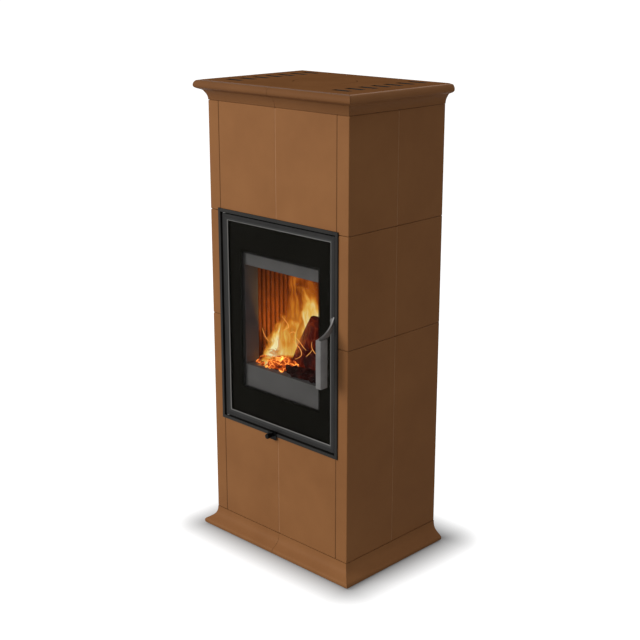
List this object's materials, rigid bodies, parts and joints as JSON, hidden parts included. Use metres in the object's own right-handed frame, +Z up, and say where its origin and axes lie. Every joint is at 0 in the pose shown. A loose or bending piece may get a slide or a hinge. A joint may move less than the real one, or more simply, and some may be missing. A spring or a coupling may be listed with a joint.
{
  "type": "tiled stove",
  "caption": "Tall free-standing wood stove with a skin of glazed brown tiles, a hinged glass door with a lever handle, moulded plinth and cornice, slotted top and ash drawer.",
  "frame": {"origin": "middle of the base plate's underside, on the floor", "axes": "+Z up, -Y towards the door (front), +X to the right as seen from the front"},
  "size_m": [0.6, 0.4763, 1.354],
  "materials": {
    "glaze": "glossy",
    "top_enamel": "glossy",
    "dark_steel": "satin",
    "rim_steel": "satin",
    "glass": "clear, with a black printed border",
    "rope": "braided",
    "plate_grey": "matte",
    "shell_steel": "matte",
    "brick": "matte",
    "cast_iron": "matte",
    "zinc": "matte",
    "panel_black": "matte",
    "handle_steel": "satin",
    "black_knob": "glossy",
    "charred_wood": "charred"
  },
  "bodies": {
    "stove": {"corner_tile_left_lower": "glaze", "corner_tile_left_middle": "glaze", "corner_tile_left_upper": "glaze", "corner_tile_right_lower": "glaze", "corner_tile_right_middle": "glaze", "corner_tile_right_upper": "glaze", "side_tile_left_lower": "glaze", "side_tile_left_middle": "glaze", "side_tile_left_upper": "glaze", "side_tile_right_lower": "glaze", "side_tile_right_middle": "glaze", "side_tile_right_upper": "glaze", "front_tile_lower_left": "glaze", "front_tile_lower_right": "glaze", "front_tile_upper_left": "glaze", "front_tile_upper_right": "glaze", "plinth_front_left": "glaze", "plinth_front_right": "glaze", "plinth_left": "glaze", "plinth_right": "glaze", "cornice_front_left": "glaze", "cornice_front_right": "glaze", "cornice_left": "glaze", "cornice_right": "glaze", "top_plate": "top_enamel", "door_surround": "dark_steel", "front_plate": "plate_grey", "base_plate": "shell_steel", "firebox_shell": "shell_steel", "flue_collar": "shell_steel", "top_outlet_cap": "shell_steel", "ash_box": "shell_steel", "smoke_chamber": "shell_steel", "hearth_brick": "brick", "lining_left": "brick", "lining_right": "brick", "lining_back": "brick", "baffle_plate": "brick", "fire_grate": "cast_iron", "casing_left": "zinc", "casing_right": "zinc", "front_backing_upper": "zinc", "front_backing_lower": "zinc", "rear_panel": "panel_black", "hinge_pin_upper": "handle_steel", "hinge_pin_lower": "handle_steel", "log_left": "charred_wood", "log_right": "charred_wood", "log_top": "charred_wood"},
    "door": {"door_frame": "rim_steel", "door_glass": "glass", "glass_retainer": "zinc", "door_seal": "rope"},
    "handle": {"latch_spindle": "handle_steel", "handle_arm": "handle_steel", "handle_grip": "handle_steel"},
    "drawer": {"ash_drawer": "shell_steel"},
    "cover": {"flue_cover": "top_enamel"},
    "air_control": {"air_slider": "dark_steel", "air_knob": "black_knob"}
  },
  "joints": [
    {"name": "door_hinge", "type": "hinge", "parent": "stove", "child": "door", "pos_m": [-0.2155, -0.186, 0.678], "axis": [0, 0, -1], "range_deg": [0, 100]},
    {"name": "handle_turn", "type": "hinge", "parent": "door", "child": "handle", "pos_m": [0.214, -0.192, 0.754], "axis": [0, -1, 0], "range_deg": [0, 90]},
    {"name": "drawer_slide", "type": "slide", "parent": "stove", "child": "drawer", "axis": [0, -1, 0], "range_m": [0, 0.116]},
    {"name": "cover_lift", "type": "slide", "parent": "stove", "child": "cover", "axis": [0, 0, 1], "range_m": [0, 0.06]},
    {"name": "air_slide", "type": "slide", "parent": "stove", "child": "air_control", "axis": [1, 0, 0], "range_m": [0, 0.024]}
  ],
  "couplings": [
    {"joint": "drawer_slide", "follows": "door_hinge", "m_per_rad": 0.066}
  ]
}
